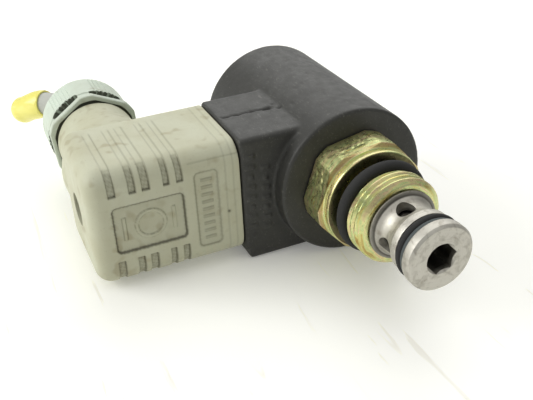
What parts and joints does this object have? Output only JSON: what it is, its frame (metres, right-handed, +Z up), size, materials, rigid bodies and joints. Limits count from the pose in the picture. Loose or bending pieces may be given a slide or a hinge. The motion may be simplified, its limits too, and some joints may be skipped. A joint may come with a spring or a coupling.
{
  "type": "solenoid cartridge valve",
  "caption": "Screw-in hydraulic cartridge valve with a round encapsulated solenoid coil, a right-angle cable plug and a short cut lead, lying on its side.",
  "frame": {"origin": "on the table, under the middle of the whole valve lying on its side", "axes": "+X along the valve axis towards the nose, +Z up, the cable plug stands out towards -Y and droops by about 2.9 degrees"},
  "size_m": [0.1234, 0.0816, 0.0352],
  "materials": {
    "coil_moulding": "fine moulded grain, dusty, scuffed",
    "bobbin_moulding": "moulded",
    "copper_wire": "enamelled wire turns",
    "magnet_steel": "turned, bare",
    "plated_washer": "zinc plated",
    "tinned_brass": "tinned",
    "brass": "turned",
    "ring_rubber": "glossy, oiled",
    "yellow_zinc": "yellow passivated zinc, iridescent",
    "coil_nut_zinc": "yellow passivated zinc",
    "stainless_tube": "drawn",
    "turned_steel": "fine turned",
    "hardened_steel": "ground",
    "backup_plastic": "turned",
    "spring_steel": "drawn wire",
    "plug_moulding": "fine matt grain, lightly soiled",
    "carrier_moulding": "moulded",
    "plated_screw": "zinc plated",
    "gasket_rubber": "matt",
    "gland_moulding": "moulded",
    "lead_jacket": "smooth sheath",
    "yellow_sleeve": "soft dipped cap",
    "core_brown": "smooth",
    "core_blue": "smooth",
    "core_green_yellow": "smooth"
  },
  "bodies": {
    "coil": {"coil_housing": "coil_moulding", "coil_bobbin": "bobbin_moulding", "coil_winding": "copper_wire", "flux_sleeve": "magnet_steel", "front_flux_washer": "magnet_steel", "rear_flux_washer": "plated_washer", "contact_blade_1": "tinned_brass", "contact_blade_2": "tinned_brass", "earth_blade": "tinned_brass", "screw_insert": "brass", "coil_front_o_ring": "ring_rubber"},
    "cartridge": {"hex_body": "yellow_zinc", "armature_tube": "stainless_tube", "pole_piece": "magnet_steel", "valve_cage": "turned_steel", "body_o_ring": "ring_rubber", "nose_o_ring": "ring_rubber", "nose_backup_ring": "backup_plastic", "armature_spring": "spring_steel", "poppet_spring": "spring_steel"},
    "armature": {"armature": "magnet_steel", "pilot_pin": "turned_steel"},
    "poppet": {"poppet": "hardened_steel"},
    "coil_nut": {"coil_nut": "coil_nut_zinc", "coil_rear_o_ring": "ring_rubber"},
    "plug": {"connector_housing": "plug_moulding", "contact_carrier": "carrier_moulding", "terminal_1": "brass", "terminal_2": "brass", "earth_terminal": "brass", "clamp_screw_1": "plated_screw", "clamp_screw_2": "plated_screw", "clamp_screw_3": "plated_screw", "connector_gasket": "gasket_rubber", "screw_seal_washer": "gasket_rubber", "gland_grommet": "gasket_rubber", "gland_washer": "plated_washer", "lead_stub": "lead_jacket", "lead_end_sleeve": "yellow_sleeve", "lead_core_1": "core_brown", "lead_core_2": "core_blue", "lead_core_3": "core_green_yellow"},
    "connector_screw": {"connector_screw": "plated_screw"},
    "gland_nut": {"gland_nut": "gland_moulding"}
  },
  "joints": [
    {"name": "cartridge_turn", "type": "hinge", "parent": "coil", "child": "cartridge", "pos_m": [0.02729, 0.02324, 0.0176], "axis": [1, 0, 0], "continuous": true},
    {"name": "coil_nut_turn", "type": "hinge", "parent": "cartridge", "child": "coil_nut", "pos_m": [-0.02, 0.02324, 0.0176], "axis": [1, 0, 0], "continuous": true},
    {"name": "armature_slide", "type": "slide", "parent": "cartridge", "child": "armature", "axis": [-1, 0, 0], "range_m": [0, 0.0025], "stiffness_N_per_m": 1000, "springref_m": -0.004, "deforming": ["armature_spring"]},
    {"name": "poppet_slide", "type": "slide", "parent": "cartridge", "child": "poppet", "axis": [-1, 0, 0], "range_m": [0, 0.0025], "deforming": ["poppet_spring"]},
    {"name": "plug_pull", "type": "slide", "parent": "coil", "child": "plug", "axis": [0, -0.9987, -0.0507], "range_m": [0, 0.014]},
    {"name": "connector_screw_turn", "type": "hinge", "parent": "plug", "child": "connector_screw", "pos_m": [0.00946, -0.03568, 0.01461], "axis": [0, -0.9987, -0.0507], "continuous": true},
    {"name": "gland_nut_turn", "type": "hinge", "parent": "plug", "child": "gland_nut", "pos_m": [-0.03823, -0.02395, 0.01621], "axis": [-1, 0, 0], "continuous": true}
  ],
  "couplings": [
    {"joint": "poppet_slide", "follows": "armature_slide", "ratio": 1}
  ]
}
